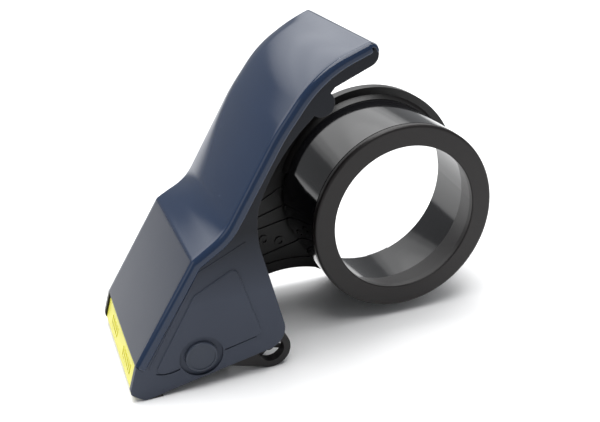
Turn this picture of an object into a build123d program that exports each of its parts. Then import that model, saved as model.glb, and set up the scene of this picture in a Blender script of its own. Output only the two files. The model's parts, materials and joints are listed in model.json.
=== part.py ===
from build123d import *
import os
from math import atan2, cos, degrees, hypot, radians, sin

os.makedirs("parts", exist_ok=True)

# Hand-held packing-tape dispenser, resting on its nose pad and on the round back plate of its hub.
# Row frame: origin on the table under the middle of the object, +X from the cutting nose to the
# tape hub, +Y from the open side of the hub to its back plate, +Z up. Millimetres.
#
# Outlines are drawn in the body's own side view: its origin is the hub axis, its first axis runs
# along the straight bottom edge towards the hub, and it leans by TILT as the object rests.

# ---- Overall ----
BODY_WIDTH = 60.0            # over the two side walls
WALL = 2.4                   # side walls
COVER_WALL = 2.4             # glossy top cover
COVER_EDGE_R = 1.3           # rounding of its long outer edges
HUB_X = 36.0                 # hub axis ahead of the middle of the object
TILT = 11.7                  # degrees by which the nose drops when the object rests
NEAR_OVERHANG = 17.8         # hub's open end lies this far inside the near wall's outer face

# ---- Side view of the body (hub axis at 0, 0) ----
NOSE_TOP = (-115.0, -5.1)
KINK = (-85.0, 25.8)         # where the nose slope meets the short flat of the back
VALLEY = (-72.0, 30.9)       # where the flat runs into the handle
SHOULDER = (-46.0, 58.9)
CROWN = (-27.0, 75.2)
TIP_TOP = (-7.2, 78.2)
TIP_NOSE = (-5.2, 74.2)
TIP_UNDER = (-8.6, 70.6)
UNDER_NOTCH = (-22.6, 67.8)
BACK_RADII = (3.0, 22.0, 80.0, 45.0)    # at the kink, valley, shoulder and crown
FINGER_R = 68.4              # underside of the handle, an arc round the hub axis
FINGER_HIGH = 118.8          # degrees round the hub where that arc starts and ends
FINGER_LOW = 148.5
LUG = (-28.3, 63.8)          # rounded finger stop
LUG_R = 4.6
REAR_BEND = (-60.4, 29.0)
REAR_TOP = (-61.5, 22.0)     # nearly upright rear edge
REAR_X = -60.2
REAR_CORNER_R = 8.0
BOTTOM_Z = -19.4
NOSE_FRONT = (-120.3, -14.7)
NOSE_CORNER_R = 2.6

# ---- Hub and drum (depths are measured from the open end of the hub) ----
DRUM_R = 37.8                # takes a 76.2 mm tape core with 0.3 mm to spare all round
RING_WIDTH = 8.3             # width of the end ring's face
RING_FACE = 2.5              # and its thickness
RING_EDGE = 1.2              # its rounded outer edge
RING_HOLE_EDGE = 0.5
RING_GAP = 0.45              # shadow gap between the end ring and the drum
INSERT_DEPTH = 15.0          # how far the end ring reaches into the drum
INSERT_MOUTH_WALL = 2.8      # the end ring's spigot thins from its face
INSERT_END_WALL = 1.0        # to its end
DRUM_MOUTH_WALL = 3.8        # drum's wall round that spigot
DRUM_MID_WALL = 4.6          # and behind it
JOURNAL_STEP = 0.9           # the drum's far end, which turns in the back plate, is smaller
JOURNAL_WALL = 1.0
COLLAR_FOOT = 0.2            # the collar that stops the tape core starts this far outside the drum
COLLAR_SLOPE = 1.4
COLLAR_RISE = 2.3            # and stands this far above the raised rim of the back plate
RIM_WIDTH = 3.0
RIM_RISE = 1.2
PLATE_WALL = 3.6             # back plate and arm
REBATE_DEPTH = 1.9           # rebate in the plate's far side
REBATE_ROOM = 1.45           # room round the snap barbs in it
RIM_FROM = -75.0             # degrees round the hub over which rim and collar run
RIM_TO = 150.0
SIDE_PLAY = 0.1              # end play of the drum
BARBS = 4                    # snap barbs that hold the drum in the plate
BARB_WALL = 0.5
BARB_PROUD = 0.45
BARB_DEPTH = 1.2
BARB_WIDTH = 10.0

# ---- Arm between body and back plate ----
ARM_ROOT = (-64.0, 20.0)     # inside the side wall
ARM_CORNER = (-61.4, 21.0)   # where the arm leaves the rear edge
ARM_FOOT_ROOT = (-72.0, -17.0)
# Its top, foot, heel and toe: distance outside the back plate, and direction from the hub.
ARM_OUTLINE = [(7.6, 157.0), (13.3, 204.9), (5.1, 211.6), (-0.7, 225.6)]
LIP_HEIGHT = 4.6             # rim along the arm's lower edge
LEVER_ROOM = 0.5             # room kept round the swinging lever's eye
PANEL_STEP = 0.6             # raised panels on the arm's inner face
GROOVE = 0.8                 # grooves between them, given by their middle lines
GROOVES = [((-43.4, 10.9), (-34.2, 13.8)), ((-47.0, 3.8), (-35.9, 5.0)),
           ((-48.9, -1.7), (-36.2, -1.6)), ((-51.2, -14.1), (-33.1, -13.3))]
EYELETS = [(7.0, 194.0), (12.6, 188.6)]     # beyond the bearing, and the direction
EYELET_R = 2.1
EYELET_PIT_R = 1.1

# ---- Near wall's relief ----
PANEL_RISE = 0.5
PANEL_EDGE = 0.45            # rounding of its edge
PANEL_FRONT = (-111.2, -11.6)
PANEL_SHOULDER = (-88.3, 13.6)
PANEL_PEAK = (-71.6, 18.3)
PANEL_REAR = (-69.3, -11.6)
PANEL_CORNER_R = 2.2
BEAD = [(-111.0, -7.2), (-84.4, 21.6), (-66.0, 26.0)]
BEAD_WIDTH = 0.5
BEAD_RISE = 0.2
SCORE_WIDTH = 0.6            # two short grooves beside the axle cap
SCORE_DEPTH = 0.45
REAR_SCORE = [(-71.2, -11.6), (-83.6, -11.9)]
FRONT_SCORE = [(-109.1, -10.7), (-105.7, -12.1), (-101.2, -12.3)]
SCORE_DOT_R = 0.5            # raised dot at the rear groove's end

# ---- Rollers, lever, flap ----
AXLE = (-92.5, -10.5)
AXLE_R = 3.0
RUNNING = 0.05               # radial clearance of every running fit
ROLLER_R = 10.0
ROLLER_SKIN = 4.0
ROLLER_END_GAP = 0.3
CAP_R = 5.8
CAP_PROUD = 1.2
CAP_ROUND = 0.5
CAP_LIP = 0.9                # rim round its dished face
CAP_DISH = 0.25
CAP_SEAT_DEPTH = 0.6
RECESS_MARGIN = 2.2          # shallow round recess beyond the cap, deepest at its top
RECESS_DEPTH = 1.0
WALL_EDGE = 0.45             # rounding of the walls' outer edges
LEVER_EDGE = 0.4
ROLLER_CHAMFER = 0.4
ARM_WALL = 1.6
EYE_X = -67.5
EYE_R = 7.5
EYE_WALL = 2.6
EYE_DEPTH = 4.0
EYE_LIFT = 0.1               # eye of the resting lever above the table
ARM_BOSS_WALL = 2.35
SPOKES = 3                   # thin spokes that hold the guide rod in each eye
SPOKE = 1.3
EYE_HUB_WALL = 0.75
BRIDGE_GAP = 3.5             # between the roller and the lever's cross plate
BRIDGE = (2.0, 6.0)
GUIDE_ROD_R = 1.25
FLAP_BEARING = 136.5         # direction from the axle to the flap's rod, in degrees
FLAP_GAP = 1.4               # between the roller and the flap's barrel
FLAP_ROD_R = 1.25
FLAP_BARREL_WALL = 1.1
FLAP_REACH = 9.0
FLAP_WALL = 1.0
FLAP_ANGLE = -100.0          # direction in which it hangs, in the side view
FLAP_SIDE_GAP = 3.6
ARM_SIDE_GAP = 0.2

# ---- Nose: guard, blade and pad, set back from the nose's front line ----
GUARD_SETBACK = 0.9
GUARD_WALL = 1.4
GUARD_TOP = 1.2
GUARD_BOTTOM = 10.9
GUARD_SIDE_GAP = 0.4
HINGE_DOWN = 2.9
HINGE_SINK = 0.2             # the hinge's middle lies this far in front of the guard's back face
HINGE_ROD_R = 0.7
HINGE_BARREL_WALL = 0.55
BLADE_GAP = 1.7              # between the guard and the blade
BLADE_WALL = 0.6
BLADE_TOP = 3.8
BLADE_BOTTOM = 10.4
TOOTH = 1.5
HOLDER_WALL = 2.6
HOLDER_BOTTOM = 8.4
TEETH = 17
BLADE_SCREW_SPACING = 34.0
BLADE_SCREW_DOWN = 6.0
BLADE_SCREW_R = 1.0
BLADE_SCREW_HEAD_R = 1.8
BLADE_SCREW_HEAD = 1.2
BLADE_SCREW_LENGTH = 3.0
BLADE_SIDE_GAP = 1.0
NOSE_CORNER_X = -116.0
PAD_X = (-114.6, -109.6)     # sole of the nose pad
PAD_CORE_X = (-114.0, -110.2)
PAD_CORE_TOP = -16.9
PAD_SIDE_GAP = 0.4
GUARD_RIB_RISE = 0.25        # two groups of plain upright ribs on the guard's front
GUARD_RIB = (1.2, 3.6)
GUARD_RIB_PITCH = 2.6
GUARD_RIB_DOWN = 6.6
GUARD_RIB_GROUPS = [(-13.0, 6), (12.0, 5)]

# ---- Ties and screws ----
TIE_SOCKET = 1.2             # wall and depth of the sockets that hold the ties
TIE_SOCKET_DEPTH = 3.0
ROD_SOCKET = 1.4             # depth to which the thin rods enter the walls
LINER_WALL = 1.6             # closes the underside of the handle between the walls
LUG_SHY = 0.5                # its finger roll is this much smaller than the walls' stop
TIES = [(-67.5, 3.5), (-86.0, 12.5), (-69.5, 21.5)]
TIE_R = 3.0
SCREW_R = 1.25
SCREW_HEAD_R = 2.4
SCREW_HEAD = 1.1
SCREW_HEAD_ROUND = 0.5
SCREW_CROSS = (2.8, 0.7)
SCREW_CROSS_DEPTH = 0.6
SCREW_LENGTH = 9.0
SCREW_PLAY = 0.05

HALF = BODY_WIDTH / 2
INSIDE = HALF - WALL
LEAN_C = cos(radians(TILT))
LEAN_S = sin(radians(TILT))

# Radii round the hub axis.
RING_HOLE_R = DRUM_R - RING_WIDTH
INSERT_R = DRUM_R - DRUM_MOUTH_WALL
DRUM_MID_R = DRUM_R - DRUM_MID_WALL
JOURNAL_R = DRUM_R - JOURNAL_STEP
DRUM_END_R = JOURNAL_R - JOURNAL_WALL
BARB_R = JOURNAL_R + BARB_PROUD
REBATE_R = BARB_R + REBATE_ROOM
COLLAR_LOW_R = DRUM_R + COLLAR_FOOT
COLLAR_HIGH_R = COLLAR_LOW_R + COLLAR_SLOPE
PLATE_R = COLLAR_HIGH_R + RIM_WIDTH      # the object stands on this plate
HUB_Z = PLATE_R

# Depths behind the hub's open end: the plate's far side is flush with the far wall.
RING_Y = -HALF + NEAR_OVERHANG
FAR_DEPTH = BODY_WIDTH - NEAR_OVERHANG
REBATE_FACE = FAR_DEPTH - REBATE_DEPTH
ARM_FACE = FAR_DEPTH - PLATE_WALL
RIM_FACE = ARM_FACE - RIM_RISE
COLLAR_FACE = RIM_FACE - COLLAR_RISE

ARM_OUT = INSIDE - ARM_SIDE_GAP
ROLLER_LENGTH = 2 * (ARM_OUT - ARM_WALL - ROLLER_END_GAP)
FLAP_WIDTH = 2 * (INSIDE - FLAP_SIDE_GAP)
RECESS_R = CAP_R + RECESS_MARGIN
EYE_HOLE_R = EYE_R - EYE_WALL
FLAP_BARREL_R = FLAP_ROD_R + RUNNING + FLAP_BARREL_WALL
HINGE_BARREL_R = HINGE_ROD_R + RUNNING + HINGE_BARREL_WALL
HINGE_BACK = GUARD_SETBACK + GUARD_WALL - HINGE_SINK
BLADE_BACK = GUARD_SETBACK + GUARD_WALL + BLADE_GAP
HUB_AXIS = Axis((HUB_X, 0, HUB_Z), (0, 1, 0))


def side(y):
    """Side-view plane at depth y; a sketch on it is extruded away from the near side by -amount."""
    return Plane(origin=(HUB_X, y, HUB_Z), x_dir=(LEAN_C, 0, LEAN_S), z_dir=(0, -1, 0))


def spot(point, y=0.0):
    """Row-frame place of a side-view point."""
    x, z = point
    return (HUB_X + x * LEAN_C - z * LEAN_S, y, HUB_Z + x * LEAN_S + z * LEAN_C)


def on_table(x, lift=0.0):
    """Side-view height of the table, plus lift, under the side-view station x."""
    return (lift - HUB_Z - x * LEAN_S) / LEAN_C


EYE = (EYE_X, on_table(EYE_X, EYE_LIFT + EYE_R))
LEVER_SWEEP = hypot(EYE[0] - AXLE[0], EYE[1] - AXLE[1]) + EYE_R + LEVER_ROOM


def polar(radius, angle):
    return (radius * cos(radians(angle)), radius * sin(radians(angle)))


ARM_TOP, ARM_FOOT, ARM_HEEL, ARM_TOE = [polar(PLATE_R + gap, angle) for gap, angle in ARM_OUTLINE]


def along(start, end, distance):
    """Point at a distance from start on the line towards end."""
    span = hypot(end[0] - start[0], end[1] - start[1])
    return (start[0] + (end[0] - start[0]) * distance / span,
            start[1] + (end[1] - start[1]) * distance / span)


def beyond(centre, radius, angle):
    """Point at a radius and an angle from a centre."""
    across, up = polar(radius, angle)
    return (centre[0] + across, centre[1] + up)


FLAP_PIVOT = beyond(AXLE, ROLLER_R + FLAP_GAP + FLAP_BARREL_R, FLAP_BEARING)
FLAP_END = beyond(FLAP_PIVOT, FLAP_REACH, FLAP_ANGLE)
NOSE_SPAN = hypot(NOSE_FRONT[0] - NOSE_TOP[0], NOSE_FRONT[1] - NOSE_TOP[1])
NOSE_DOWN = ((NOSE_FRONT[0] - NOSE_TOP[0]) / NOSE_SPAN, (NOSE_FRONT[1] - NOSE_TOP[1]) / NOSE_SPAN)
NOSE_BACK = (-NOSE_DOWN[1], NOSE_DOWN[0])


def nose(down, back):
    """Side-view point a distance down the nose's front line and back from it into the body."""
    return (NOSE_TOP[0] + NOSE_DOWN[0] * down + NOSE_BACK[0] * back,
            NOSE_TOP[1] + NOSE_DOWN[1] * down + NOSE_BACK[1] * back)


def back_line():
    """Outer edge of the top cover from the nose over the kink to the tip of the handle."""
    FilletPolyline(NOSE_TOP, KINK, VALLEY, SHOULDER, CROWN, TIP_TOP, radius=BACK_RADII)


def under_line():
    """Underside of the handle, without its finger stop, from the tip to the top of the rear edge."""
    ThreePointArc(TIP_TOP, TIP_NOSE, TIP_UNDER)
    Line(TIP_UNDER, UNDER_NOTCH)
    Line(UNDER_NOTCH, polar(FINGER_R, FINGER_HIGH))
    ThreePointArc(polar(FINGER_R, FINGER_HIGH), polar(FINGER_R, (FINGER_HIGH + FINGER_LOW) / 2),
                  polar(FINGER_R, FINGER_LOW))
    ThreePointArc(polar(FINGER_R, FINGER_LOW), REAR_BEND, REAR_TOP)


def turned_plane():
    """Section through the hub axis: radius across, depth from the hub's open end upwards."""
    return Plane(origin=(HUB_X, RING_Y, HUB_Z), x_dir=(1, 0, 0), z_dir=(0, 0, 1))


def recess_plane():
    """Floor of the recess over the cap: it meets the wall's face at the recess's lower end."""
    sink = atan2(RECESS_DEPTH, 2 * RECESS_R)
    level = side(-HALF + RECESS_DEPTH / 2)
    middle = spot(AXLE)
    return Plane(origin=(middle[0], -HALF + RECESS_DEPTH / 2, middle[2]), x_dir=level.x_dir,
                 z_dir=-level.y_dir * sin(sink) + level.z_dir * cos(sink))


def nose_plane(back):
    """Plane along the nose's front line: first axis across the body, second down the nose."""
    outward = (-NOSE_BACK[0] * LEAN_C + NOSE_BACK[1] * LEAN_S, 0,
               -NOSE_BACK[0] * LEAN_S - NOSE_BACK[1] * LEAN_C)
    return Plane(origin=spot(nose(0, back)), x_dir=(0, 1, 0), z_dir=outward)


def on_back_line(edge):
    middle = edge @ 0.5
    line = side(middle.Y).from_local_coords(back.line)
    return line.distance_to(Vertex(middle.X, middle.Y, middle.Z)) < 0.01


with BuildLine() as back:
    back_line()


# ---- Flat outlines in the side view, added to the sketches of the pieces that share them ----
with BuildSketch() as cover_band:
    with BuildLine():
        back_line()
        offset(amount=COVER_WALL, side=Side.RIGHT)
    make_face()

with BuildSketch() as wall_outline:
    with BuildLine():
        back_line()
        under_line()
        Line(REAR_TOP, (REAR_X, BOTTOM_Z))
        Line((REAR_X, BOTTOM_Z), (NOSE_CORNER_X, BOTTOM_Z))
        Line((NOSE_CORNER_X, BOTTOM_Z), NOSE_FRONT)
        Line(NOSE_FRONT, NOSE_TOP)
    make_face()
    with Locations(LUG):
        Circle(LUG_R)
    fillet(wall_outline.vertices().sort_by_distance((REAR_X, BOTTOM_Z))[0], REAR_CORNER_R)
    fillet(wall_outline.vertices().sort_by_distance((NOSE_CORNER_X, BOTTOM_Z))[0], NOSE_CORNER_R)
    fillet(wall_outline.vertices().sort_by_distance(NOSE_FRONT)[0], NOSE_CORNER_R)
    add(cover_band.sketch, mode=Mode.SUBTRACT)

with BuildSketch() as liner_band:
    with BuildLine():
        under_line()
        offset(amount=LINER_WALL, side=Side.RIGHT)
    make_face()
    with Locations(LUG):
        Circle(LUG_R - LUG_SHY)
    add(cover_band.sketch, mode=Mode.SUBTRACT)

with BuildSketch() as arm_outline:
    with BuildLine():
        Polyline(ARM_ROOT, ARM_TOP, polar(PLATE_R, RIM_TO), (0, 0), ARM_TOE)
        ThreePointArc(ARM_TOE, ARM_HEEL, ARM_FOOT)
        Polyline(ARM_FOOT, ARM_FOOT_ROOT, ARM_ROOT)
    make_face()

with BuildSketch() as arm_lip:
    with BuildLine():
        ThreePointArc(ARM_TOE, ARM_HEEL, ARM_FOOT)
        Line(ARM_FOOT, ARM_FOOT_ROOT)
        offset(amount=LIP_HEIGHT, side=Side.RIGHT)
    make_face()
    Circle(JOURNAL_R + GROOVE, mode=Mode.SUBTRACT)
    with Locations(AXLE):
        Circle(LEVER_SWEEP, mode=Mode.SUBTRACT)

with BuildSketch() as arm_panels:
    add(arm_outline.sketch)
    add(arm_lip.sketch, mode=Mode.SUBTRACT)
    Circle(JOURNAL_R + GROOVE, mode=Mode.SUBTRACT)
    with Locations(AXLE):
        Circle(LEVER_SWEEP, mode=Mode.SUBTRACT)
    for start, end in GROOVES:
        with Locations(((start[0] + end[0]) / 2, (start[1] + end[1]) / 2)):
            Rectangle(2 * PLATE_R, GROOVE, mode=Mode.SUBTRACT,
                      rotation=degrees(atan2(end[1] - start[1], end[0] - start[0])))

with BuildSketch() as rim_sector:
    with BuildLine():
        Line((0, 0), polar(2 * PLATE_R, RIM_FROM))
        ThreePointArc(polar(2 * PLATE_R, RIM_FROM), polar(2 * PLATE_R, (RIM_FROM + RIM_TO) / 2),
                      polar(2 * PLATE_R, RIM_TO))
        Line(polar(2 * PLATE_R, RIM_TO), (0, 0))
    make_face()

with BuildLine() as front_score:
    ThreePointArc(*FRONT_SCORE)

# ---- Body shell ----
with BuildPart() as top_cover:
    with BuildSketch(side(-HALF)):
        add(cover_band.sketch)
    extrude(amount=-BODY_WIDTH)
    side_faces = top_cover.faces().filter_by(Axis.Y)
    outer_edges = [edge for edge in side_faces.edges() if on_back_line(edge)]
    fillet(outer_edges, COVER_EDGE_R)
top_cover.part.label = "top_cover"

with BuildPart() as near_side_panel:
    with BuildSketch(side(-HALF)):
        add(wall_outline.sketch)
    extrude(amount=-WALL)
    fillet(near_side_panel.faces().sort_by(Axis.Y)[0].edges(), WALL_EDGE)
    with BuildSketch(side(-HALF)) as raised:
        with BuildLine():
            Polyline(PANEL_FRONT, PANEL_SHOULDER, PANEL_PEAK, PANEL_REAR, close=True)
        make_face()
        fillet(raised.vertices(), PANEL_CORNER_R)
    extrude(amount=PANEL_RISE)
    fillet(near_side_panel.faces().sort_by(Axis.Y)[0].edges(), PANEL_EDGE)
    with BuildSketch(side(-HALF)):
        with BuildLine():
            Polyline(*BEAD)
            offset(amount=BEAD_WIDTH, side=Side.RIGHT)
        make_face()
    extrude(amount=BEAD_RISE)
    # Tilted round recess over the cap, the cap's seat, and the two short grooves.
    with BuildSketch(recess_plane()):
        Circle(RECESS_R)
    extrude(amount=2 * RECESS_DEPTH, mode=Mode.SUBTRACT)
    with BuildSketch(side(-HALF + CAP_SEAT_DEPTH)):
        with Locations(AXLE):
            Circle(CAP_R + RUNNING)
    extrude(amount=CAP_SEAT_DEPTH + PANEL_RISE, mode=Mode.SUBTRACT)
    with BuildSketch(side(-HALF - PANEL_RISE)):
        with Locations(((REAR_SCORE[0][0] + REAR_SCORE[1][0]) / 2,
                        (REAR_SCORE[0][1] + REAR_SCORE[1][1]) / 2)):
            SlotCenterToCenter(hypot(REAR_SCORE[1][0] - REAR_SCORE[0][0],
                                     REAR_SCORE[1][1] - REAR_SCORE[0][1]), SCORE_WIDTH,
                               rotation=degrees(atan2(REAR_SCORE[0][1] - REAR_SCORE[1][1],
                                                      REAR_SCORE[0][0] - REAR_SCORE[1][0])))
        SlotArc(front_score.wires()[0], SCORE_WIDTH)
    extrude(amount=-PANEL_RISE - SCORE_DEPTH, mode=Mode.SUBTRACT)
    with BuildSketch(side(-HALF - PANEL_RISE)):
        with Locations(REAR_SCORE[0]):
            Circle(SCORE_DOT_R)
    extrude(amount=-PANEL_RISE - SCORE_DEPTH)
    with BuildSketch(side(-HALF)):
        with Locations(AXLE):
            Circle(AXLE_R)
    extrude(amount=-WALL, mode=Mode.SUBTRACT)
    with BuildSketch(side(-INSIDE)):
        with Locations(*TIES):
            Circle(TIE_R + TIE_SOCKET)
    extrude(amount=-TIE_SOCKET_DEPTH)
    with BuildSketch(side(-INSIDE)):
        with Locations(*TIES):
            Circle(TIE_R)
    extrude(amount=-TIE_SOCKET_DEPTH, mode=Mode.SUBTRACT)
    with BuildSketch(side(-INSIDE)):
        with Locations(FLAP_PIVOT):
            Circle(FLAP_ROD_R)
        with Locations(nose(HINGE_DOWN, HINGE_BACK)):
            Circle(HINGE_ROD_R)
    extrude(amount=ROD_SOCKET, mode=Mode.SUBTRACT)
near_side_panel.part.label = "near_side_panel"

with BuildPart() as far_side_frame:
    # Raised rim and collar behind the drum, which stop short of the arm.
    with BuildSketch(turned_plane()):
        with BuildLine():
            Polyline((JOURNAL_R + RUNNING, COLLAR_FACE), (COLLAR_LOW_R, COLLAR_FACE),
                     (COLLAR_HIGH_R, RIM_FACE), (PLATE_R, RIM_FACE), (PLATE_R, ARM_FACE),
                     (JOURNAL_R + RUNNING, ARM_FACE), close=True)
        make_face()
    revolve(axis=HUB_AXIS)
    with BuildSketch(side(RING_Y + COLLAR_FACE)):
        add(rim_sector.sketch)
    extrude(amount=COLLAR_FACE - ARM_FACE, mode=Mode.INTERSECT)
    # Side wall, arm and round plate.
    with BuildSketch(side(INSIDE)):
        add(wall_outline.sketch)
        add(arm_outline.sketch)
    extrude(amount=-WALL)
    with BuildSketch(side(RING_Y + ARM_FACE)):
        add(arm_outline.sketch)
        Circle(PLATE_R)
        with Locations(AXLE):
            Circle(LEVER_SWEEP, mode=Mode.SUBTRACT)
    extrude(amount=ARM_FACE - FAR_DEPTH)
    # The short edge just under the rear edge's top stays sharp.
    far_edges = far_side_frame.faces().sort_by(Axis.Y)[-1].edges()
    fillet(far_edges.sort_by_distance(spot(ARM_CORNER, HALF))[1:], WALL_EDGE)
    with BuildSketch(side(RING_Y + RIM_FACE)):
        add(arm_lip.sketch)
    extrude(amount=RIM_FACE - ARM_FACE)
    # Raised panels on the arm's inner face, parted by grooves, and two moulded eyelets.
    with BuildSketch(side(RING_Y + ARM_FACE)):
        add(arm_panels.sketch)
    extrude(amount=PANEL_STEP)
    with BuildSketch(side(RING_Y + ARM_FACE - PANEL_STEP)):
        for gap, angle in EYELETS:
            with Locations(polar(JOURNAL_R + gap, angle)):
                Circle(EYELET_R)
                Circle(EYELET_PIT_R, mode=Mode.SUBTRACT)
        with Locations(AXLE):
            Circle(LEVER_SWEEP, mode=Mode.SUBTRACT)
    extrude(amount=PANEL_STEP)
    # Bearing for the drum, and the rebate behind it for the drum's barbs.
    with BuildSketch(side(RING_Y + ARM_FACE)):
        Circle(JOURNAL_R + RUNNING)
    extrude(amount=ARM_FACE - FAR_DEPTH, mode=Mode.SUBTRACT)
    with BuildSketch(side(RING_Y + REBATE_FACE)):
        Circle(REBATE_R)
    extrude(amount=REBATE_FACE - FAR_DEPTH, mode=Mode.SUBTRACT)
    # Seat of the axle cap, and holes for the axle, the screws and the thin rods.
    with BuildSketch(side(HALF)):
        with Locations(AXLE):
            Circle(CAP_R + RUNNING)
    extrude(amount=CAP_SEAT_DEPTH, mode=Mode.SUBTRACT)
    with BuildSketch(side(INSIDE)):
        with Locations(AXLE):
            Circle(AXLE_R)
        with Locations(*TIES):
            Circle(SCREW_R + SCREW_PLAY)
    extrude(amount=-WALL, mode=Mode.SUBTRACT)
    with BuildSketch(side(INSIDE)):
        with Locations(FLAP_PIVOT):
            Circle(FLAP_ROD_R)
        with Locations(nose(HINGE_DOWN, HINGE_BACK)):
            Circle(HINGE_ROD_R)
    extrude(amount=-ROD_SOCKET, mode=Mode.SUBTRACT)
far_side_frame.part.label = "far_side_frame"

with BuildPart() as handle_liner:
    with BuildSketch(side(-INSIDE)):
        add(liner_band.sketch)
    extrude(amount=-2 * INSIDE)
handle_liner.part.label = "handle_liner"

with BuildPart() as tie_bars:
    with BuildSketch(side(-INSIDE)):
        with Locations(*TIES):
            Circle(TIE_R)
    extrude(amount=-2 * INSIDE)
    with BuildSketch(side(INSIDE)):
        with Locations(*TIES):
            Circle(SCREW_R)
    extrude(amount=SCREW_LENGTH - WALL, mode=Mode.SUBTRACT)
tie_bars.part.label = "tie_bars"

with BuildPart() as frame_screws:
    with BuildSketch(side(HALF)):
        with Locations(*TIES):
            Circle(SCREW_R)
    extrude(amount=SCREW_LENGTH)
    with BuildSketch(side(HALF)):
        with Locations(*TIES):
            Circle(SCREW_HEAD_R)
    extrude(amount=-SCREW_HEAD)
    fillet(frame_screws.faces().sort_by(Axis.Y)[-len(TIES):].edges(), SCREW_HEAD_ROUND)
    with BuildSketch(side(HALF + SCREW_HEAD)):
        with Locations(*TIES):
            Rectangle(SCREW_CROSS[0], SCREW_CROSS[1])
            Rectangle(SCREW_CROSS[1], SCREW_CROSS[0])
    extrude(amount=SCREW_CROSS_DEPTH, mode=Mode.SUBTRACT)
frame_screws.part.label = "frame_screws"

# ---- Tape drum ----
with BuildPart() as tape_drum:
    with BuildSketch(turned_plane()):
        with BuildLine():
            Polyline((INSERT_R, RING_FACE + RING_GAP), (DRUM_R, RING_FACE + RING_GAP),
                     (DRUM_R, COLLAR_FACE - SIDE_PLAY), (JOURNAL_R, COLLAR_FACE - SIDE_PLAY),
                     (JOURNAL_R, REBATE_FACE + SIDE_PLAY), (DRUM_END_R, REBATE_FACE + SIDE_PLAY),
                     (DRUM_MID_R, INSERT_DEPTH), (INSERT_R, INSERT_DEPTH), close=True)
        make_face()
    revolve(axis=HUB_AXIS)
    with BuildSketch(side(RING_Y + REBATE_FACE + SIDE_PLAY)):
        with PolarLocations(BARB_R, BARBS):
            Rectangle(BARB_WIDTH, BARB_WIDTH)
        Circle(BARB_R, mode=Mode.INTERSECT)
        Circle(JOURNAL_R - BARB_WALL, mode=Mode.SUBTRACT)
    extrude(amount=-BARB_DEPTH)
tape_drum.part.label = "tape_drum"

with BuildPart() as drum_end_ring:
    with BuildSketch(turned_plane()):
        with BuildLine():
            Polyline((RING_HOLE_R, 0), (DRUM_R, 0), (DRUM_R, RING_FACE), (INSERT_R, RING_FACE),
                     (INSERT_R, INSERT_DEPTH), (INSERT_R - INSERT_END_WALL, INSERT_DEPTH),
                     (INSERT_R - INSERT_MOUTH_WALL, RING_FACE), (RING_HOLE_R, RING_FACE),
                     close=True)
        make_face()
    revolve(axis=HUB_AXIS)
    face_edges = drum_end_ring.edges().group_by(Axis.Y)[0].sort_by(SortBy.LENGTH)
    fillet(face_edges[-1], RING_EDGE)
    fillet(drum_end_ring.edges().group_by(Axis.Y)[0].sort_by(SortBy.LENGTH)[0], RING_HOLE_EDGE)
drum_end_ring.part.label = "drum_end_ring"

# ---- Applicator roller on its axle ----
with BuildPart() as applicator_roller:
    with BuildSketch(side(-ROLLER_LENGTH / 2)):
        with Locations(AXLE):
            Circle(ROLLER_R)
            Circle(ROLLER_R - ROLLER_SKIN, mode=Mode.SUBTRACT)
    extrude(amount=-ROLLER_LENGTH)
    chamfer(applicator_roller.faces().filter_by(Axis.Y).edges().filter_by(
        lambda edge: edge.radius > ROLLER_R - RUNNING), ROLLER_CHAMFER)
applicator_roller.part.label = "applicator_roller"

with BuildPart() as roller_core:
    with BuildSketch(side(-ROLLER_LENGTH / 2)):
        with Locations(AXLE):
            Circle(ROLLER_R - ROLLER_SKIN)
            Circle(AXLE_R + RUNNING, mode=Mode.SUBTRACT)
    extrude(amount=-ROLLER_LENGTH)
roller_core.part.label = "roller_core"

with BuildPart() as roller_axle:
    with BuildSketch(side(-HALF)):
        with Locations(AXLE):
            Circle(AXLE_R)
    extrude(amount=-BODY_WIDTH)
roller_axle.part.label = "roller_axle"

with BuildPart() as near_axle_cap:
    with BuildSketch(side(-HALF - CAP_PROUD)):
        with Locations(AXLE):
            Circle(CAP_R)
    extrude(amount=-CAP_PROUD - CAP_SEAT_DEPTH)
    fillet(near_axle_cap.edges().group_by(Axis.Y)[0], CAP_ROUND)
    with BuildSketch(side(-HALF - CAP_PROUD)):
        with Locations(AXLE):
            Circle(CAP_R - CAP_LIP)
    extrude(amount=-CAP_DISH, mode=Mode.SUBTRACT)
    with BuildSketch(side(-HALF)):
        with Locations(AXLE):
            Circle(AXLE_R)
    extrude(amount=-CAP_SEAT_DEPTH, mode=Mode.SUBTRACT)
near_axle_cap.part.label = "near_axle_cap"

with BuildPart() as far_axle_cap:
    add(near_axle_cap.part.mirror(Plane.XZ))
far_axle_cap.part.label = "far_axle_cap"

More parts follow.
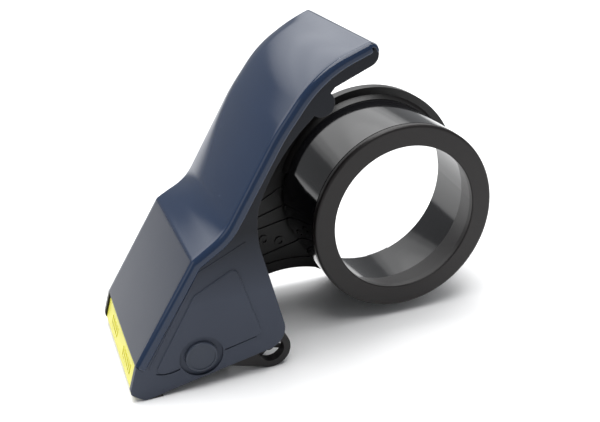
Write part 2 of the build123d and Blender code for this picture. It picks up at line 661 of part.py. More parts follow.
# ---- Tape guide lever under the body ----
with BuildPart() as guide_lever:
    for inner in (-ARM_OUT, ARM_OUT - ARM_WALL):
        with BuildSketch(side(inner)):
            with Locations(AXLE):
                Circle(AXLE_R + RUNNING + ARM_BOSS_WALL)
            with Locations(EYE):
                Circle(EYE_R)
            make_hull()
        extrude(amount=-ARM_WALL)
    fillet(guide_lever.faces().sort_by(Axis.Y)[0].edges(), LEVER_EDGE)
    fillet(guide_lever.faces().sort_by(Axis.Y)[-1].edges(), LEVER_EDGE)
    for inner in (-ARM_OUT, ARM_OUT - EYE_DEPTH):
        with BuildSketch(side(inner)):
            with Locations(EYE):
                Circle(EYE_R)
        extrude(amount=-EYE_DEPTH)
    with BuildSketch(side(-ARM_OUT)):
        with Locations(along(AXLE, EYE, ROLLER_R + BRIDGE_GAP + BRIDGE[0] / 2)):
            Rectangle(BRIDGE[0], BRIDGE[1],
                      rotation=degrees(atan2(EYE[1] - AXLE[1], EYE[0] - AXLE[0])))
    extrude(amount=-2 * ARM_OUT)
    with BuildSketch(side(-ARM_OUT)):
        with Locations(AXLE):
            Circle(AXLE_R + RUNNING)
        with Locations(EYE):
            Circle(EYE_HOLE_R)
    extrude(amount=-2 * ARM_OUT, mode=Mode.SUBTRACT)
    # Spoked seats of the guide rod, at the inner ends of the eyes.
    for inner in (EYE_DEPTH - ARM_OUT - SPOKE, ARM_OUT - EYE_DEPTH):
        with BuildSketch(side(inner)):
            with Locations(EYE):
                Circle(GUIDE_ROD_R + EYE_HUB_WALL)
                with PolarLocations(EYE_HOLE_R / 2, SPOKES, start_angle=90):
                    Rectangle(EYE_HOLE_R + SPOKE, SPOKE)
                Circle(GUIDE_ROD_R, mode=Mode.SUBTRACT)
        extrude(amount=-SPOKE)
guide_lever.part.label = "guide_lever"

with BuildPart() as guide_rod:
    with BuildSketch(side(EYE_DEPTH - ARM_OUT - SPOKE)):
        with Locations(EYE):
            Circle(GUIDE_ROD_R)
    extrude(amount=-2 * (ARM_OUT - EYE_DEPTH + SPOKE))
guide_rod.part.label = "guide_rod"

# ---- Flap that keeps the tape's end on the roller ----
with BuildPart() as tape_flap:
    with BuildSketch(side(-FLAP_WIDTH / 2)):
        with Locations(along(FLAP_PIVOT, FLAP_END, FLAP_REACH / 2)):
            Rectangle(FLAP_REACH, FLAP_WALL, rotation=FLAP_ANGLE)
        with Locations(FLAP_PIVOT):
            Circle(FLAP_BARREL_R)
            Circle(FLAP_ROD_R + RUNNING, mode=Mode.SUBTRACT)
    extrude(amount=-FLAP_WIDTH)
tape_flap.part.label = "tape_flap"

with BuildPart() as flap_rod:
    with BuildSketch(side(-INSIDE - ROD_SOCKET)):
        with Locations(FLAP_PIVOT):
            Circle(FLAP_ROD_R)
    extrude(amount=-2 * (INSIDE + ROD_SOCKET))
flap_rod.part.label = "flap_rod"

# ---- Cutting blade and its holder ----
BLADE_HALF = INSIDE - BLADE_SIDE_GAP
SCREW_ROW = [(-BLADE_SCREW_SPACING / 2, BLADE_SCREW_DOWN),
             (BLADE_SCREW_SPACING / 2, BLADE_SCREW_DOWN)]

with BuildPart() as blade_holder:
    with BuildSketch(side(-INSIDE)):
        with BuildLine():
            Polyline(nose(BLADE_TOP, BLADE_BACK + BLADE_WALL),
                     nose(HOLDER_BOTTOM, BLADE_BACK + BLADE_WALL),
                     nose(HOLDER_BOTTOM, BLADE_BACK + BLADE_WALL + HOLDER_WALL),
                     nose(BLADE_TOP, BLADE_BACK + BLADE_WALL + HOLDER_WALL), close=True)
        make_face()
    extrude(amount=-2 * INSIDE)
    with BuildSketch(nose_plane(BLADE_BACK + BLADE_WALL)):
        with Locations(*SCREW_ROW):
            Circle(BLADE_SCREW_R)
    extrude(amount=BLADE_WALL - BLADE_SCREW_LENGTH, mode=Mode.SUBTRACT)
blade_holder.part.label = "blade_holder"

with BuildPart() as cutting_blade:
    with BuildSketch(nose_plane(BLADE_BACK)):
        with BuildLine():
            tooth = 2 * BLADE_HALF / TEETH
            saw = [(-BLADE_HALF, BLADE_TOP), (-BLADE_HALF, BLADE_BOTTOM - TOOTH)]
            for number in range(TEETH):
                saw.append((-BLADE_HALF + (number + 0.5) * tooth, BLADE_BOTTOM))
                saw.append((-BLADE_HALF + (number + 1) * tooth, BLADE_BOTTOM - TOOTH))
            saw.append((BLADE_HALF, BLADE_TOP))
            Polyline(*saw, close=True)
        make_face()
        with Locations(*SCREW_ROW):
            Circle(BLADE_SCREW_R, mode=Mode.SUBTRACT)
    extrude(amount=-BLADE_WALL)
cutting_blade.part.label = "cutting_blade"

with BuildPart() as blade_screws:
    with BuildSketch(nose_plane(BLADE_BACK)):
        with Locations(*SCREW_ROW):
            Circle(BLADE_SCREW_HEAD_R)
    extrude(amount=BLADE_SCREW_HEAD)
    fillet(blade_screws.faces().sort_by(Axis(nose_plane(0).origin, nose_plane(0).z_dir))[-2:].edges(),
           SCREW_HEAD_ROUND)
    with BuildSketch(nose_plane(BLADE_BACK)):
        with Locations(*SCREW_ROW):
            Circle(BLADE_SCREW_R)
    extrude(amount=-BLADE_SCREW_LENGTH)
blade_screws.part.label = "blade_screws"

# ---- Safety guard in front of the blade ----
GUARD_HALF = INSIDE - GUARD_SIDE_GAP

with BuildPart() as blade_guard:
    with BuildSketch(side(-GUARD_HALF)):
        with BuildLine():
            Polyline(nose(GUARD_TOP, GUARD_SETBACK), nose(GUARD_BOTTOM, GUARD_SETBACK),
                     nose(GUARD_BOTTOM, GUARD_SETBACK + GUARD_WALL),
                     nose(GUARD_TOP, GUARD_SETBACK + GUARD_WALL), close=True)
        make_face()
        with Locations(nose(HINGE_DOWN, HINGE_BACK)):
            Circle(HINGE_BARREL_R)
    extrude(amount=-2 * GUARD_HALF)
    with BuildSketch(nose_plane(GUARD_SETBACK)):
        for middle, count in GUARD_RIB_GROUPS:
            with Locations((middle, GUARD_RIB_DOWN)):
                with GridLocations(GUARD_RIB_PITCH, 1, count, 1):
                    RectangleRounded(GUARD_RIB[0], GUARD_RIB[1], GUARD_RIB[0] / 3)
    extrude(amount=GUARD_RIB_RISE)
    with BuildSketch(side(-GUARD_HALF)):
        with Locations(nose(HINGE_DOWN, HINGE_BACK)):
            Circle(HINGE_ROD_R + RUNNING)
    extrude(amount=-2 * GUARD_HALF, mode=Mode.SUBTRACT)
blade_guard.part.label = "blade_guard"

with BuildPart() as guard_hinge_rod:
    with BuildSketch(side(-INSIDE - ROD_SOCKET)):
        with Locations(nose(HINGE_DOWN, HINGE_BACK)):
            Circle(HINGE_ROD_R)
    extrude(amount=-2 * (INSIDE + ROD_SOCKET))
guard_hinge_rod.part.label = "guard_hinge_rod"

# ---- Rubber pad under the nose ----
with BuildPart() as nose_pad:
    with BuildSketch(side(-INSIDE)):
        with BuildLine():
            Polyline((PAD_CORE_X[0], PAD_CORE_TOP), (PAD_CORE_X[1], PAD_CORE_TOP),
                     (PAD_CORE_X[1], BOTTOM_Z), (PAD_CORE_X[0], BOTTOM_Z), close=True)
        make_face()
    extrude(amount=-2 * INSIDE)
    with BuildSketch(side(-HALF + PAD_SIDE_GAP)):
        with BuildLine():
            Polyline((PAD_X[0], BOTTOM_Z), (PAD_X[1], BOTTOM_Z), (PAD_X[1], on_table(PAD_X[1])),
                     (PAD_X[0], on_table(PAD_X[0])), close=True)
        make_face()
    extrude(amount=-2 * (HALF - PAD_SIDE_GAP))
nose_pad.part.label = "nose_pad"

for piece in (top_cover, near_side_panel, far_side_frame, handle_liner, tie_bars, frame_screws,
              tape_drum, drum_end_ring, applicator_roller, roller_core, roller_axle,
              near_axle_cap, far_axle_cap, guide_lever, guide_rod, tape_flap, flap_rod,
              blade_holder, cutting_blade, blade_screws, blade_guard, guard_hinge_rod, nose_pad):
    export_step(piece.part, "parts/" + piece.part.label + ".step")
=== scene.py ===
"""Studio scene of a hand-held packing tape dispenser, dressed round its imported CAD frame.

Row frame in metres: the origin is on the table under the middle of the dispenser, +X runs from the
cutting nose to the tape hub, +Y from the open side of the hub to its back plate, and +Z up.
"""

import json
import math

import bpy
import numpy as np
from mathutils import Matrix, Vector


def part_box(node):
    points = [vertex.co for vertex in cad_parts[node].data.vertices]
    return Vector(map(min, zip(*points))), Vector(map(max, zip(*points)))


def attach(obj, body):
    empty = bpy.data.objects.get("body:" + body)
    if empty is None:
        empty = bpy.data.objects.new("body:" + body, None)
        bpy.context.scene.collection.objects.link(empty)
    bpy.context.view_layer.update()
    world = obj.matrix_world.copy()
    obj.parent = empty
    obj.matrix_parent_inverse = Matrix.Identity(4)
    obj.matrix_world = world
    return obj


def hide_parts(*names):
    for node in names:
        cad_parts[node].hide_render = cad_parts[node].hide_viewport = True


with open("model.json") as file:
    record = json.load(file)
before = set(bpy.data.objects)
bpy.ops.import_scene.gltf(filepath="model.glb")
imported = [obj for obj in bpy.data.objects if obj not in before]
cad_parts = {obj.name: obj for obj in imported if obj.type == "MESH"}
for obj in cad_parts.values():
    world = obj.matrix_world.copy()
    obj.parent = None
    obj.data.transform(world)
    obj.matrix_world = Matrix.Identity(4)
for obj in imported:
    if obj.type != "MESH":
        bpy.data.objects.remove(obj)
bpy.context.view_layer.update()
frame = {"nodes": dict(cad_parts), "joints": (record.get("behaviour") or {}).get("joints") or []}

MM = 0.001


# ---- Where things are, read from the frame ----
def joint(name):
    return next(entry for entry in frame["joints"] if entry["name"] == name)


HUB = np.array(joint("drum_spin")["pos_m"])
LEAN = math.radians(11.7)          # the body's straight bottom edge drops by this towards the nose
COVER_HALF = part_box("top_cover")[1][1]      # half of the cover's width

# Outer edge of the top cover in the body's side view, in millimetres from the hub axis: its first
# axis runs along the straight bottom edge. It goes from the nose over the kink to the handle's tip.
BACK_POINTS = [(-115.0, -5.1), (-85.0, 25.8), (-72.0, 30.9), (-46.0, 58.9), (-27.0, 75.2),
               (-7.0, 78.45), (-5.0, 77.0), (-4.6, 75.0)]
BACK_RADII = [3.0, 22.0, 80.0, 45.0, 1.2, 1.5]      # of the arcs at its corners, in millimetres


# ---- Camera, as the dispenser was looked at ----
CAMERA_AT = Vector((-104.5, -286.1, 186.1)) * MM
LOOK_TURN = math.radians(19.52)    # to the right of straight along +Y
LOOK_DOWN = math.radians(24.49)
LOOK_ROLL = math.radians(1.91)
LENS = 52.2                        # millimetres, like the sensor's width
SENSOR = 36.0
CLIP_START = 0.01
CLIP_END = 20.0


def make_camera():
    camera = bpy.data.objects.new("camera", bpy.data.cameras.new("camera"))
    camera.data.lens = LENS
    camera.data.sensor_width = SENSOR
    camera.data.clip_start = CLIP_START
    camera.data.clip_end = CLIP_END
    forward = Vector((math.sin(LOOK_TURN) * math.cos(LOOK_DOWN),
                      math.cos(LOOK_TURN) * math.cos(LOOK_DOWN), -math.sin(LOOK_DOWN)))
    level = forward.to_track_quat("-Z", "Y").to_matrix()
    turned = level @ Matrix.Rotation(-LOOK_ROLL, 3, "Z")
    camera.matrix_world = Matrix.Translation(CAMERA_AT) @ turned.to_4x4()
    bpy.context.scene.collection.objects.link(camera)
    bpy.context.scene.camera = camera


# ---- Top cover: a crowned shell along the back line ----
COVER_WALL = 2.4 * MM
COVER_STEP = 0.5 * MM              # spacing of its sections along the back line
NEAR_ROUND = 2.1 * MM              # rounding of its near edge
FAR_ROUND = 1.1 * MM               # and of its far edge
SKIRT_DEPTH = 3.4 * MM             # its sides lap over the walls down to this depth
SKIRT_PROUD = 0.15 * MM            # and stand this far outside them
SKIRT_FOOT = 0.5 * MM              # height of the lowest strip of faces on each side
CROWN = 1.0 * MM                   # rise of the middle of the handle over its edges
NOSE_CROWN = 0.3 * MM
ROLL = 1.0 * MM                    # drop of the far edge, over a width that grows towards the waist
ROLL_WIDTH = 9.0 * MM
WAIST_ROLL_WIDTH = 21.0 * MM
TIP_TAPER = 0.6                    # the cover thins by this share where it turns over the tip
WAIST_MARGIN = 4.0                 # the roll narrows from this many millimetres past the valley
                                   # to as many before the shoulder
THINNING = (-1.5, 1.0)             # start and end, in millimetres past the tip's first corner
CROWN_FADE = (-16.0, -1.0)         # the crown fades out between these, measured likewise
UNDERSIDE_SHARE = 0.99             # width of the underside, as a share of the cover's

# Numbers of points: on an arc of the back line, round an edge, across the top and the underside.
ARC_POINTS = 60
EDGE_POINTS = 9
TOP_POINTS = 46
UNDERSIDE_POINTS = 6


def rounded_line(points, radii):
    """Points of a polyline whose corners are arcs tangent to both runs, then evenly spaced.

    At a corner with turn t and radius r the arc starts r tan(t / 2) before the corner.
    """
    points = np.array(points)
    pieces = [points[:1]]
    for before, corner, after, radius in zip(points, points[1:], points[2:], radii):
        come = (corner - before) / np.linalg.norm(corner - before)
        go = (after - corner) / np.linalg.norm(after - corner)
        turn = math.atan2(come[0] * go[1] - come[1] * go[0], come @ go)
        reach = radius * math.tan(abs(turn) / 2)
        sweep = np.linspace(0, turn, ARC_POINTS)[:, None]
        across = np.array([-come[1], come[0]]) * math.copysign(1, turn)
        pieces.append(corner - reach * come + radius * (np.sin(abs(sweep)) * come
                                                         + (1 - np.cos(sweep)) * across))
    pieces.append(points[-1:])
    line = np.concatenate(pieces)
    run = np.concatenate([[0], np.cumsum(np.linalg.norm(np.diff(line, axis=0), axis=1))])
    even = np.linspace(0, run[-1], int(run[-1] * MM / COVER_STEP))
    return np.stack([np.interp(even, run, line[:, 0]), np.interp(even, run, line[:, 1])], axis=1)


def smooth(low, high, value):
    """0 below low, 1 above high, and 3 t^2 - 2 t^3 between."""
    t = np.clip((value - low) / (high - low), 0, 1)
    return t * t * (3 - 2 * t)


def cover_section():
    """Closed section of the cover: place across the body and height over the back line."""
    near = np.linspace(0, math.pi / 2, EDGE_POINTS)
    far = near[::-1]
    top = np.linspace(-COVER_HALF + NEAR_ROUND, COVER_HALF - FAR_ROUND, TOP_POINTS)[1:-1]
    edge = COVER_HALF + SKIRT_PROUD
    foot = -SKIRT_DEPTH + SKIRT_FOOT
    across = np.concatenate([[-COVER_HALF, -edge, -edge],
                             -edge + NEAR_ROUND * (1 - np.cos(near)), top,
                             edge - FAR_ROUND * (1 - np.cos(far)), [edge, edge, COVER_HALF],
                             np.linspace(COVER_HALF, -COVER_HALF, UNDERSIDE_POINTS) * UNDERSIDE_SHARE])
    height = np.concatenate([[-SKIRT_DEPTH, -SKIRT_DEPTH, foot],
                             -NEAR_ROUND * (1 - np.sin(near)), 0 * top,
                             -FAR_ROUND * (1 - np.sin(far)), [foot, -SKIRT_DEPTH, -SKIRT_DEPTH],
                             np.full(UNDERSIDE_POINTS, -COVER_WALL)])
    return across, height


def make_cover():
    """Cover sections stand square to the back line; crown and far roll are added to the top face.

    The crown is its rise in the middle times 1 - y^2 / half^2, and the roll falls with the square
    of the distance past its start.
    """
    line = rounded_line(BACK_POINTS, BACK_RADII)
    heading = np.gradient(line, axis=0)
    heading /= np.linalg.norm(heading, axis=1)[:, None]
    outward = np.stack([-heading[:, 1], heading[:, 0]], axis=1)
    along = line[:, 0]
    kink, valley, shoulder = (point[0] for point in BACK_POINTS[1:4])
    on_handle = smooth(kink, valley, along)[:, None]
    past_waist = smooth(valley + WAIST_MARGIN, shoulder - WAIST_MARGIN, along)[:, None]
    at_waist = on_handle * (1 - past_waist)
    tip = BACK_POINTS[-3][0]
    at_tip = smooth(tip + THINNING[0], tip + THINNING[1], along)[:, None]
    near_tip = smooth(tip + CROWN_FADE[0], tip + CROWN_FADE[1], along)[:, None]
    across, height = cover_section()
    across, height = across[None, :], height[None, :]
    width = ROLL_WIDTH + (WAIST_ROLL_WIDTH - ROLL_WIDTH) * at_waist
    fall = np.clip((across - COVER_HALF + width) / width, 0, 1) ** 2
    rise = NOSE_CROWN + (CROWN - NOSE_CROWN) * on_handle
    crown = rise * (1 - np.clip(across / COVER_HALF, -1, 1) ** 2)
    upper = np.clip(1 + height / COVER_WALL, 0, 1) * (1 - near_tip)
    height = height * (1 - TIP_TAPER * at_tip) + upper * (crown - ROLL * on_handle * fall)
    flat = line[:, None, :] * MM + outward[:, None, :] * height[:, :, None]
    x = HUB[0] + flat[..., 0] * math.cos(LEAN) - flat[..., 1] * math.sin(LEAN)
    z = HUB[2] + flat[..., 0] * math.sin(LEAN) + flat[..., 1] * math.cos(LEAN)
    y = np.broadcast_to(across, x.shape)
    return loft("cover_shell", np.stack([x, y, z], axis=-1))


def loft(name, grid):
    """Closed mesh through a grid of sections, each a closed loop, with a flat face on each end."""
    count, around = grid.shape[:2]
    index = np.arange(count * around).reshape(count, around)
    here, there = index[:-1], index[1:]
    walls = np.stack([here, np.roll(here, -1, 1), np.roll(there, -1, 1), there], axis=-1).reshape(-1, 4)
    faces = walls.tolist() + [index[0, ::-1].tolist(), index[-1].tolist()]
    mesh = bpy.data.meshes.new(name)
    mesh.from_pydata(grid.reshape(-1, 3).tolist(), [], faces)
    mesh.polygons.foreach_set("use_smooth", [True] * (len(faces) - 2) + [False] * 2)
    mesh.update()
    piece = bpy.data.objects.new(name, mesh)
    bpy.context.scene.collection.objects.link(piece)
    return piece


# ---- Shader maths ----
class Wire:
    """One output socket; arithmetic on it adds Math nodes to its finish."""

    def __init__(self, finish, socket):
        self.finish = finish
        self.socket = socket

    def maths(self, operation, *terms):
        return self.finish.add("ShaderNodeMath", {"operation": operation}, *terms)

    def __add__(self, other):
        return self.maths("ADD", self, other)

    __radd__ = __add__

    def __sub__(self, other):
        return self.maths("SUBTRACT", self, other)

    def __mul__(self, other):
        return self.maths("MULTIPLY", self, other)

    __rmul__ = __mul__

    def __lt__(self, other):
        return self.maths("LESS_THAN", self, other)


class Finish:
    """A material under construction: add() is the one way in which it gets nodes."""

    def __init__(self, name):
        self.material = bpy.data.materials.new(name)
        self.material.use_nodes = True
        self.tree = self.material.node_tree
        self.tree.nodes.clear()

    def add(self, kind, settings, *values, output=0, **named):
        """Node of a kind with its settings, then the values or wires of its sockets.

        A value of None leaves its socket as it is.
        """
        node = self.tree.nodes.new(kind)
        for key, value in settings.items():
            setattr(node, key, value)
        sockets = list(enumerate(values)) + [(key.replace("_", " "), value)
                                             for key, value in named.items()]
        for key, value in sockets:
            if isinstance(value, Wire):
                self.tree.links.new(value.socket, node.inputs[key])
            elif value is not None:
                node.inputs[key].default_value = value
        return Wire(self, node.outputs[output])

    def place(self):
        """Object coordinates in metres."""
        return self.add("ShaderNodeTexCoord", {}, output="Object")

    def noise(self, size, detail=2.0, roughness=0.5):
        """Soft noise whose patches are about size metres across."""
        return self.add("ShaderNodeTexNoise", {}, Vector=self.place(), Scale=1.0 / size,
                        Detail=detail, Roughness=roughness)

    def cells(self, size):
        """Distance, as a share of size, to the nearest of points scattered size metres apart."""
        return self.add("ShaderNodeTexVoronoi", {}, Vector=self.place(), Scale=1.0 / size)

    def bump(self, height, depth):
        """Normal of a surface raised by height (0 to 1) times depth metres."""
        return self.add("ShaderNodeBump", {}, Strength=1.0, Distance=depth, Height=height)

    def blend(self, factor, first, second):
        """Colour between two colours: sockets 1 to 5 of the node are for numbers and vectors."""
        return self.add("ShaderNodeMix", {"data_type": "RGBA"}, factor, None, None, None, None,
                        None, first, second, output=2)

    def span(self, value, low, high):
        """0 at low, 1 at high and a straight line between, held beyond both."""
        return self.add("ShaderNodeMapRange", {}, value, low, high, 0.0, 1.0)

    def height(self):
        """Height over the table."""
        return self.add("ShaderNodeSeparateXYZ", {}, self.place(), output="Z")

    def sideways(self):
        """Distance from the middle plane of the body."""
        y = self.add("ShaderNodeSeparateXYZ", {}, self.place(), output="Y")
        return y.maths("ABSOLUTE", y)

    def forward(self):
        """Distance in front of the hub axis along the body's bottom edge; the nose is negative."""
        x = self.add("ShaderNodeSeparateXYZ", {}, self.place(), output="X") - HUB[0]
        z = self.height() - HUB[2]
        return x * math.cos(LEAN) + z * math.sin(LEAN)

    def done(self, **sockets):
        """The material, with a principled shader that has these sockets."""
        shader = self.add("ShaderNodeBsdfPrincipled", {}, **sockets)
        out = self.tree.nodes.new("ShaderNodeOutputMaterial")
        self.tree.links.new(shader.socket, out.inputs["Surface"])
        return self.material


# ---- Finishes: sizes are those of patches, waves and grains, and depths those of their relief ----
MATTE_PATCH = 18 * MM
GLOSS_PATCH = 30 * MM
GLOSS_WAVE = 12 * MM
GLOSS_WAVE_DEPTH = 0.02 * MM
GLOSS_SMEAR = 5 * MM
GLOSS_IOR = 1.46
# Painted shade: the share of its tone that a part keeps at its top when it is darkened towards the top.
PAINTED_SHADE_SHARE = 0.2
NAVY_DEEP = (0.008, 0.018, 0.044, 1.0)
NAVY_LIGHT = (0.010, 0.022, 0.052, 1.0)
NAVY_SATIN = (0.010, 0.015, 0.030, 1.0)
SPECK_TONE = (0.25, 0.28, 0.34, 1.0)
COVER_SMEAR = 6 * MM
COVER_GRAIN = 0.3 * MM
COVER_GRAIN_DEPTH = 0.008 * MM
COVER_ROUGHNESS = 0.075
COVER_IOR = 1.42
SATIN_ROUGHNESS = 0.26             # what the nose slope's satin adds to it
SATIN_FADE = (0.5, -0.8)           # the satin sets in between these millimetres past the kink
SATIN_MARGINS = (1.3 * MM, 2.4 * MM)    # and between these distances in from the side edges
SPECK_SPACING = 7 * MM
SPECK_RADIUS = 0.022               # as a share of the spacing
STEEL_MARKS = 0.4 * MM
STEEL_MARKS_DEPTH = 0.01 * MM

# How far the roughness shifts with the grain, the smears and the marks.
GRAIN_SHIFT = 0.10
GLOSS_SMEAR_SHIFT = 0.04
COVER_SMEAR_SHIFT = 0.03
STEEL_MARKS_SHIFT = 0.12


def moulded(name, colour, shade, roughness, grain, depth, painted_shade_heights=None, ior=1.45):
    """Matte moulded plastic: spark-eroded grain, slow shifts of tone and gloss.

    Two heights, if given, are where painted shade sets in: between them the tone sinks to the
    painted-shade share of its value, so the part is darker towards the top.
    """
    finish = Finish(name)
    patches = finish.noise(MATTE_PATCH, detail=3.0)
    fine = finish.noise(grain, detail=3.0, roughness=0.65)
    tone = finish.blend(patches, (*colour, 1.0), (*shade, 1.0))
    # Painted shade: the tone darkens between the two heights, standing in for less light on the upper
    # part.
    if painted_shade_heights:
        top = [PAINTED_SHADE_SHARE * channel for channel in colour]
        tone = finish.blend(finish.span(finish.height(), *painted_shade_heights), tone, (*top, 1.0))
    return finish.done(Base_Color=tone, IOR=ior, Roughness=roughness + GRAIN_SHIFT * (fine - 0.5),
                       Normal=finish.bump(fine, depth))


def polished(name, colour, shade, roughness):
    """Glossy moulded plastic with a faint waviness and slow shifts of tone and gloss."""
    finish = Finish(name)
    patches = finish.noise(GLOSS_PATCH, detail=2.0)
    wave = finish.noise(GLOSS_WAVE, detail=1.0)
    smear = finish.noise(GLOSS_SMEAR, detail=3.0, roughness=0.6)
    tone = finish.blend(patches, (*colour, 1.0), (*shade, 1.0))
    return finish.done(Base_Color=tone, IOR=GLOSS_IOR, Roughness=roughness + GLOSS_SMEAR_SHIFT * smear,
                       Normal=finish.bump(wave, GLOSS_WAVE_DEPTH))


def cover_navy(name):
    """Deep navy with a fine grain: glossy on the handle, satin on the nose slope, a few specks."""
    finish = Finish(name)
    patches = finish.noise(GLOSS_PATCH, detail=2.0)
    smear = finish.noise(COVER_SMEAR, detail=3.0, roughness=0.6)
    fine = finish.noise(COVER_GRAIN, detail=2.0, roughness=0.6)
    fade_start, fade_end = [(BACK_POINTS[1][0] + past) * MM for past in SATIN_FADE]
    side_start, side_end = [COVER_HALF - margin for margin in SATIN_MARGINS]
    nose = (finish.span(finish.forward(), fade_start, fade_end)
            * finish.span(finish.sideways(), side_start, side_end))
    specks = finish.cells(SPECK_SPACING) < SPECK_RADIUS
    tone = finish.blend(patches, NAVY_DEEP, NAVY_LIGHT)
    tone = finish.blend(nose, tone, NAVY_SATIN)
    tone = finish.blend(specks, tone, SPECK_TONE)
    rough = COVER_ROUGHNESS + COVER_SMEAR_SHIFT * smear + SATIN_ROUGHNESS * nose
    return finish.done(Base_Color=tone, Roughness=rough, IOR=COVER_IOR,
                       Normal=finish.bump(fine, COVER_GRAIN_DEPTH))


def metal(name, colour, roughness):
    """Bare steel with fine marks in its gloss and relief."""
    finish = Finish(name)
    marks = finish.noise(STEEL_MARKS, detail=4.0, roughness=0.7)
    return finish.done(Base_Color=(*colour, 1.0), Metallic=1.0,
                       Roughness=roughness + STEEL_MARKS_SHIFT * (marks - 0.5),
                       Normal=finish.bump(marks, STEEL_MARKS_DEPTH))


NAVY = cover_navy("navy_gloss")
# The near side panel has painted shade: its tone darkens between 34 mm and 58 mm over the table.
CHARCOAL_PAINTED_SHADE = moulded("charcoal_matte", (0.037, 0.044, 0.064), (0.042, 0.050, 0.071), 0.50,
                   0.35 * MM, 0.04 * MM, painted_shade_heights=(34 * MM, 58 * MM), ior=1.30)
LINER = moulded("liner_black", (0.007, 0.007, 0.007), (0.009, 0.009, 0.009), 0.5, 0.35 * MM,
                0.04 * MM, ior=1.30)
CAP = moulded("cap_charcoal", (0.033, 0.040, 0.058), (0.037, 0.045, 0.063), 0.36, 0.3 * MM,
              0.015 * MM, ior=1.35)
BLACK = polished("black_gloss", (0.004, 0.004, 0.005), (0.006, 0.006, 0.007), 0.07)
RING = moulded("ring_matte", (0.009, 0.007, 0.007), (0.012, 0.010, 0.010), 0.40, 0.3 * MM,
               0.03 * MM, ior=1.38)
LEVER = moulded("lever_matte", (0.009, 0.008, 0.008), (0.012, 0.011, 0.011), 0.5, 0.3 * MM,
                0.04 * MM, ior=1.38)
FRAME_BLACK = moulded("frame_black", (0.005, 0.005, 0.005), (0.008, 0.007, 0.007), 0.32, 0.3 * MM,
                      0.02 * MM, ior=1.38)
RUBBER = moulded("roller_rubber", (0.018, 0.018, 0.019), (0.022, 0.022, 0.023), 0.7, 0.25 * MM,
                 0.04 * MM)
YELLOW = moulded("guard_yellow", (0.62, 0.58, 0.04), (0.66, 0.62, 0.06), 0.38, 0.4 * MM,
                 0.015 * MM)
ROD_STEEL = metal("axle_steel", (0.60, 0.60, 0.60), 0.28)
SCREW_STEEL = metal("screw_steel", (0.40, 0.40, 0.41), 0.35)
BLADE_STEEL = metal("blade_steel", (0.64, 0.64, 0.65), 0.22)

NODE_FINISHES = {
    "top_cover": NAVY, "near_side_panel": CHARCOAL_PAINTED_SHADE, "far_side_frame": FRAME_BLACK,
    "handle_liner": LINER, "tie_bars": LINER, "frame_screws": SCREW_STEEL,
    "tape_drum": BLACK, "drum_end_ring": RING, "applicator_roller": RUBBER, "roller_core": RING,
    "roller_axle": ROD_STEEL, "near_axle_cap": CAP, "far_axle_cap": CAP,
    "guide_lever": LEVER, "guide_rod": ROD_STEEL, "tape_flap": LEVER, "flap_rod": ROD_STEEL,
    "blade_holder": BLACK, "cutting_blade": BLADE_STEEL, "blade_screws": SCREW_STEEL,
    "blade_guard": YELLOW, "guard_hinge_rod": ROD_STEEL, "nose_pad": RUBBER,
}


def finish_nodes():
    for name, material in NODE_FINISHES.items():
        mesh = frame["nodes"][name].data
        mesh.materials.clear()
        mesh.materials.append(material)


# ---- Studio ----
FLOOR_HALF = 4.0
FLOOR_TONE = (0.90, 0.90, 0.90, 1.0)
FLOOR_ROUGHNESS = 0.6
SKY_COLOUR = (0.95, 0.97, 1.0, 1.0)
SKY_STRENGTH = 0.38
AIM = (0.0, 0.0, 0.05)             # the middle of the dispenser
TOP_BOX_AT = (-0.05, 0.05, 1.2)
TOP_BOX_SIZE = (1.1, 1.1)
TOP_BOX_POWER = 22.0               # watts
LEFT_BOX_AT = (-1.0, -0.1, 0.5)
LEFT_BOX_SIZE = (0.6, 0.6)
LEFT_BOX_POWER = 1.2
BACK_PANEL_X = 0.1
BACK_PANEL_Y = 1.2
BACK_PANEL_WIDTH = 2.6
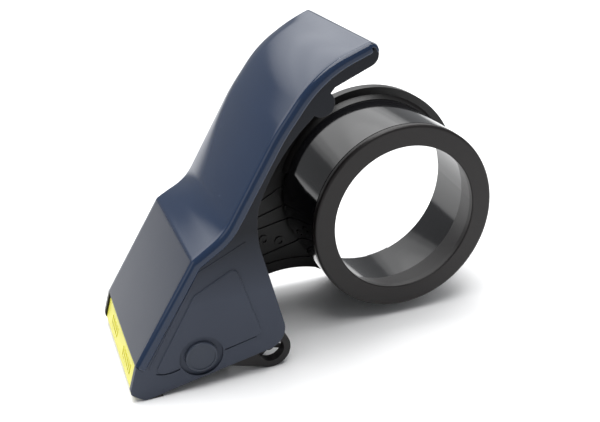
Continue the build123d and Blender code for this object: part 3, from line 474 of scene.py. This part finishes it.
# Lower edge, upper edge and radiance of the panels of a back wall that brightens upwards.
BACK_PANELS = [(0.46, 0.52, 0.6), (0.52, 0.60, 1.1), (0.60, 0.75, 1.7), (0.75, 1.80, 2.3)]


def make_floor():
    mesh = bpy.data.meshes.new("floor")
    corners = [(-FLOOR_HALF, -FLOOR_HALF, 0), (FLOOR_HALF, -FLOOR_HALF, 0),
               (FLOOR_HALF, FLOOR_HALF, 0), (-FLOOR_HALF, FLOOR_HALF, 0)]
    mesh.from_pydata(corners, [], [(0, 1, 2, 3)])
    floor = bpy.data.objects.new("floor", mesh)
    finish = Finish("floor_white")
    mesh.materials.append(finish.done(Base_Color=FLOOR_TONE, Roughness=FLOOR_ROUGHNESS))
    bpy.context.scene.collection.objects.link(floor)


def area_light(name, at, aim, size, power):
    light = bpy.data.lights.new(name, "AREA")
    light.shape = "RECTANGLE"
    light.size, light.size_y = size
    light.energy = power
    lamp = bpy.data.objects.new(name, light)
    place = Vector(at)
    turn = (Vector(aim) - place).to_track_quat("-Z", "Y")
    lamp.matrix_world = Matrix.Translation(place) @ turn.to_matrix().to_4x4()
    bpy.context.scene.collection.objects.link(lamp)


def make_light():
    """Even sky, two boxes and the back panels; a panel's power is pi times radiance times area."""
    world = bpy.data.worlds.new("studio")
    world.use_nodes = True
    sky = world.node_tree.nodes["Background"]
    sky.inputs["Color"].default_value = SKY_COLOUR
    sky.inputs["Strength"].default_value = SKY_STRENGTH
    bpy.context.scene.world = world
    area_light("top_box", TOP_BOX_AT, AIM, TOP_BOX_SIZE, TOP_BOX_POWER)
    area_light("left_box", LEFT_BOX_AT, AIM, LEFT_BOX_SIZE, LEFT_BOX_POWER)
    for low, high, radiance in BACK_PANELS:
        middle = (low + high) / 2
        area = BACK_PANEL_WIDTH * (high - low)
        area_light("back_panel", (BACK_PANEL_X, BACK_PANEL_Y, middle), (BACK_PANEL_X, 0.0, middle),
                   (BACK_PANEL_WIDTH, high - low), radiance * math.pi * area)
    bpy.context.scene.view_settings.view_transform = "Standard"


make_camera()
finish_nodes()
cover = make_cover()
cover.data.materials.append(NAVY)
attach(cover, "root")
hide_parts("top_cover")
make_floor()
make_light()
